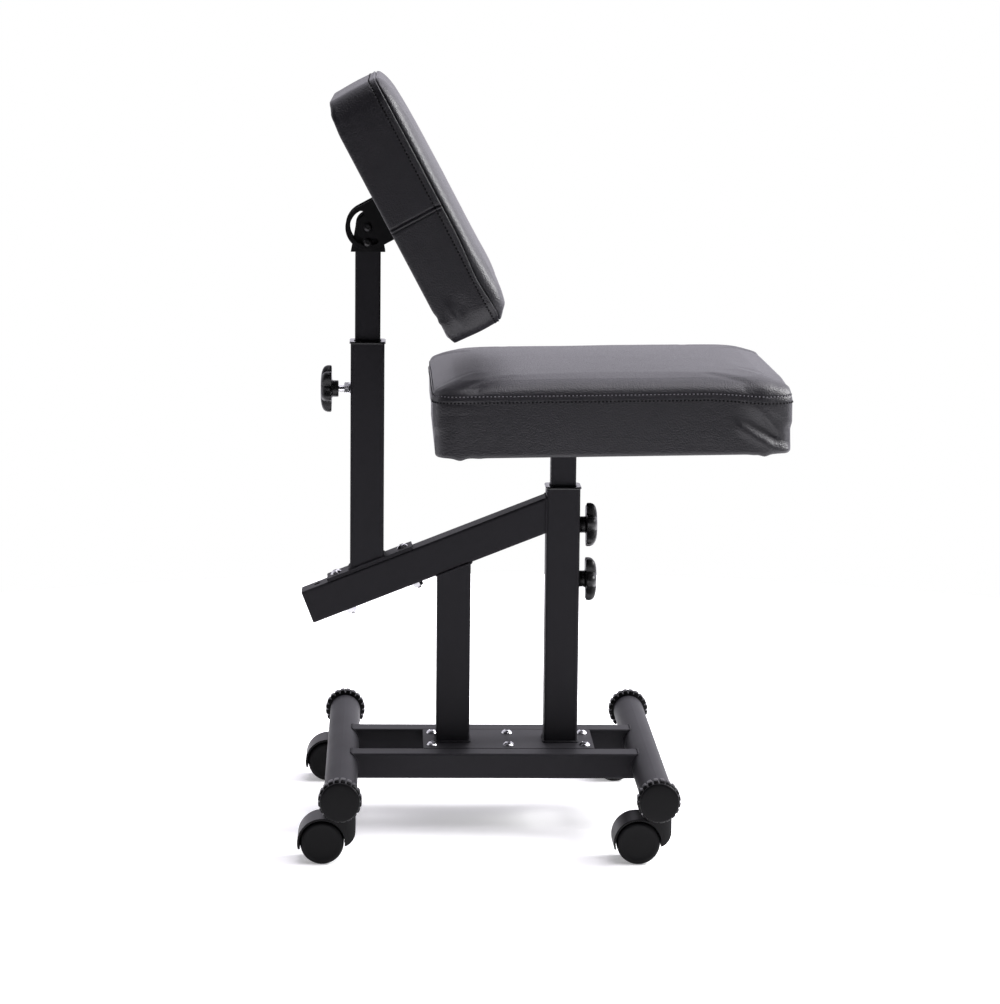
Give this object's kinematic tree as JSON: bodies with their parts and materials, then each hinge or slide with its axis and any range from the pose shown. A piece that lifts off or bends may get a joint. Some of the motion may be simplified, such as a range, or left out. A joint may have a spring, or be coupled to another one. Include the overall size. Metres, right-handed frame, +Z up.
{
  "type": "kneeling massage chair",
  "caption": "Wheeled massage chair with a cushioned square seat and a tilting chest rest, each on a sliding square post clamped by knobs, over an H-shaped caster base.",
  "frame": {"origin": "on the floor, under the middle of the whole chair's bounding box", "axes": "+Z up, +X from the chest rest towards the seat's front edge, +Y across the chair"},
  "size_m": [0.5557, 0.516, 0.8902],
  "materials": {
    "black_powder_coat": "satin black powder coat on steel",
    "bright_zinc": "bright zinc plate",
    "black_plastic": "satin black moulded plastic",
    "caster_tread": "matt black wheel",
    "charcoal_leather": "coated fabric: fine pebbled charcoal synthetic leather over foam",
    "plywood": "plain plywood"
  },
  "bodies": {
    "frame": {"beam": "black_powder_coat", "beam_end_plate": "black_powder_coat", "bolt_ledges": "black_powder_coat", "caster_stems": "bright_zinc", "chest_collar": "black_plastic", "chest_knob_nut": "bright_zinc", "chest_outer_tube": "black_powder_coat", "cross_tube_left": "black_powder_coat", "cross_tube_right": "black_powder_coat", "end_caps": "black_plastic", "foot_bolts": "bright_zinc", "foot_nuts": "bright_zinc", "foot_plate": "black_powder_coat", "main_post": "black_powder_coat", "plate_bolts": "bright_zinc", "plate_nuts": "bright_zinc", "post_plate": "black_powder_coat", "rail_far": "black_powder_coat", "rail_near": "black_powder_coat", "seat_collar": "black_plastic", "seat_knob_inserts": "bright_zinc", "short_post": "black_powder_coat", "stem_bushes": "bright_zinc"},
    "seat": {"seat_post": "black_powder_coat", "seat_plate": "black_powder_coat", "seat_screws": "bright_zinc", "seat_board": "plywood", "seat_cushion": "charcoal_leather"},
    "chest_mast": {"chest_inner_tube": "black_powder_coat", "saddle": "black_powder_coat", "tilt_bolts": "black_powder_coat", "tilt_nuts": "black_powder_coat", "tilt_bushes": "black_plastic"},
    "chest_rest": {"tilt_bracket": "black_powder_coat", "pad_screws": "bright_zinc", "chest_board": "plywood", "chest_cushion": "charcoal_leather"},
    "seat_stud_upper": {"seat_stud_upper": "bright_zinc"},
    "seat_knob_upper": {"seat_knob_upper": "black_plastic"},
    "seat_stud_lower": {"seat_stud_lower": "bright_zinc"},
    "seat_knob_lower": {"seat_knob_lower": "black_plastic"},
    "chest_stud": {"chest_stud": "bright_zinc"},
    "chest_knob": {"chest_knob": "black_plastic"},
    "caster_near_left": {"hood_near_left": "black_plastic", "axle_near_left": "bright_zinc"},
    "wheel_near_left_a": {"wheel_near_left_a": "caster_tread"},
    "wheel_near_left_b": {"wheel_near_left_b": "caster_tread"},
    "caster_near_right": {"hood_near_right": "black_plastic", "axle_near_right": "bright_zinc"},
    "wheel_near_right_a": {"wheel_near_right_a": "caster_tread"},
    "wheel_near_right_b": {"wheel_near_right_b": "caster_tread"},
    "caster_far_left": {"hood_far_left": "black_plastic", "axle_far_left": "bright_zinc"},
    "wheel_far_left_a": {"wheel_far_left_a": "caster_tread"},
    "wheel_far_left_b": {"wheel_far_left_b": "caster_tread"},
    "caster_far_right": {"hood_far_right": "black_plastic", "axle_far_right": "bright_zinc"},
    "wheel_far_right_a": {"wheel_far_right_a": "caster_tread"},
    "wheel_far_right_b": {"wheel_far_right_b": "caster_tread"}
  },
  "joints": [
    {"name": "seat_height", "type": "slide", "parent": "frame", "child": "seat", "axis": [0, 0, 1], "range_m": [-0.035, 0.03]},
    {"name": "chest_height", "type": "slide", "parent": "frame", "child": "chest_mast", "axis": [0, 0, 1], "range_m": [-0.03, 0.12]},
    {"name": "chest_tilt", "type": "hinge", "parent": "chest_mast", "child": "chest_rest", "pos_m": [-0.2014, 0, 0.713], "axis": [0, 1, 0], "range_deg": [-62, 28]},
    {"name": "seat_stud_upper_travel", "type": "slide", "parent": "frame", "child": "seat_stud_upper", "axis": [1, 0, 0], "range_m": [0, 0.00376]},
    {"name": "seat_knob_upper_turn", "type": "hinge", "parent": "seat_stud_upper", "child": "seat_knob_upper", "pos_m": [0.0523, 0, 0.3583], "axis": [1, 0, 0], "range_deg": [0, 1080]},
    {"name": "seat_stud_lower_travel", "type": "slide", "parent": "frame", "child": "seat_stud_lower", "axis": [1, 0, 0], "range_m": [0, 0.00376]},
    {"name": "seat_knob_lower_turn", "type": "hinge", "parent": "seat_stud_lower", "child": "seat_knob_lower", "pos_m": [0.0523, 0, 0.2926], "axis": [1, 0, 0], "range_deg": [0, 1080]},
    {"name": "chest_stud_travel", "type": "slide", "parent": "frame", "child": "chest_stud", "axis": [-1, 0, 0], "range_m": [0, 0.00376]},
    {"name": "chest_knob_turn", "type": "hinge", "parent": "chest_stud", "child": "chest_knob", "pos_m": [-0.2357, 0, 0.5203], "axis": [-1, 0, 0], "range_deg": [0, 1080]},
    {"name": "swivel_near_left", "type": "hinge", "parent": "frame", "child": "caster_near_left", "pos_m": [-0.2295, -0.203, 0.05], "axis": [0, 0, 1], "continuous": true},
    {"name": "roll_near_left_a", "type": "hinge", "parent": "caster_near_left", "child": "wheel_near_left_a", "pos_m": [-0.2502, -0.203, 0.025], "axis": [0, 1, 0], "continuous": true},
    {"name": "roll_near_left_b", "type": "hinge", "parent": "caster_near_left", "child": "wheel_near_left_b", "pos_m": [-0.2502, -0.203, 0.025], "axis": [0, 1, 0], "continuous": true},
    {"name": "swivel_near_right", "type": "hinge", "parent": "frame", "child": "caster_near_right", "pos_m": [0.1325, -0.203, 0.05], "axis": [0, 0, 1], "continuous": true},
    {"name": "roll_near_right_a", "type": "hinge", "parent": "caster_near_right", "child": "wheel_near_right_a", "pos_m": [0.1118, -0.203, 0.025], "axis": [0, 1, 0], "continuous": true},
    {"name": "roll_near_right_b", "type": "hinge", "parent": "caster_near_right", "child": "wheel_near_right_b", "pos_m": [0.1118, -0.203, 0.025], "axis": [0, 1, 0], "continuous": true},
    {"name": "swivel_far_left", "type": "hinge", "parent": "frame", "child": "caster_far_left", "pos_m": [-0.2295, 0.203, 0.05], "axis": [0, 0, 1], "continuous": true},
    {"name": "roll_far_left_a", "type": "hinge", "parent": "caster_far_left", "child": "wheel_far_left_a", "pos_m": [-0.2502, 0.203, 0.025], "axis": [0, 1, 0], "continuous": true},
    {"name": "roll_far_left_b", "type": "hinge", "parent": "caster_far_left", "child": "wheel_far_left_b", "pos_m": [-0.2502, 0.203, 0.025], "axis": [0, 1, 0], "continuous": true},
    {"name": "swivel_far_right", "type": "hinge", "parent": "frame", "child": "caster_far_right", "pos_m": [0.1325, 0.203, 0.05], "axis": [0, 0, 1], "continuous": true},
    {"name": "roll_far_right_a", "type": "hinge", "parent": "caster_far_right", "child": "wheel_far_right_a", "pos_m": [0.1118, 0.203, 0.025], "axis": [0, 1, 0], "continuous": true},
    {"name": "roll_far_right_b", "type": "hinge", "parent": "caster_far_right", "child": "wheel_far_right_b", "pos_m": [0.1118, 0.203, 0.025], "axis": [0, 1, 0], "continuous": true}
  ],
  "couplings": [
    {"joint": "seat_stud_upper_travel", "follows": "seat_knob_upper_turn", "m_per_rad": 0.00019894},
    {"joint": "seat_stud_lower_travel", "follows": "seat_knob_lower_turn", "m_per_rad": 0.00019894},
    {"joint": "chest_stud_travel", "follows": "chest_knob_turn", "m_per_rad": 0.00019894}
  ]
}
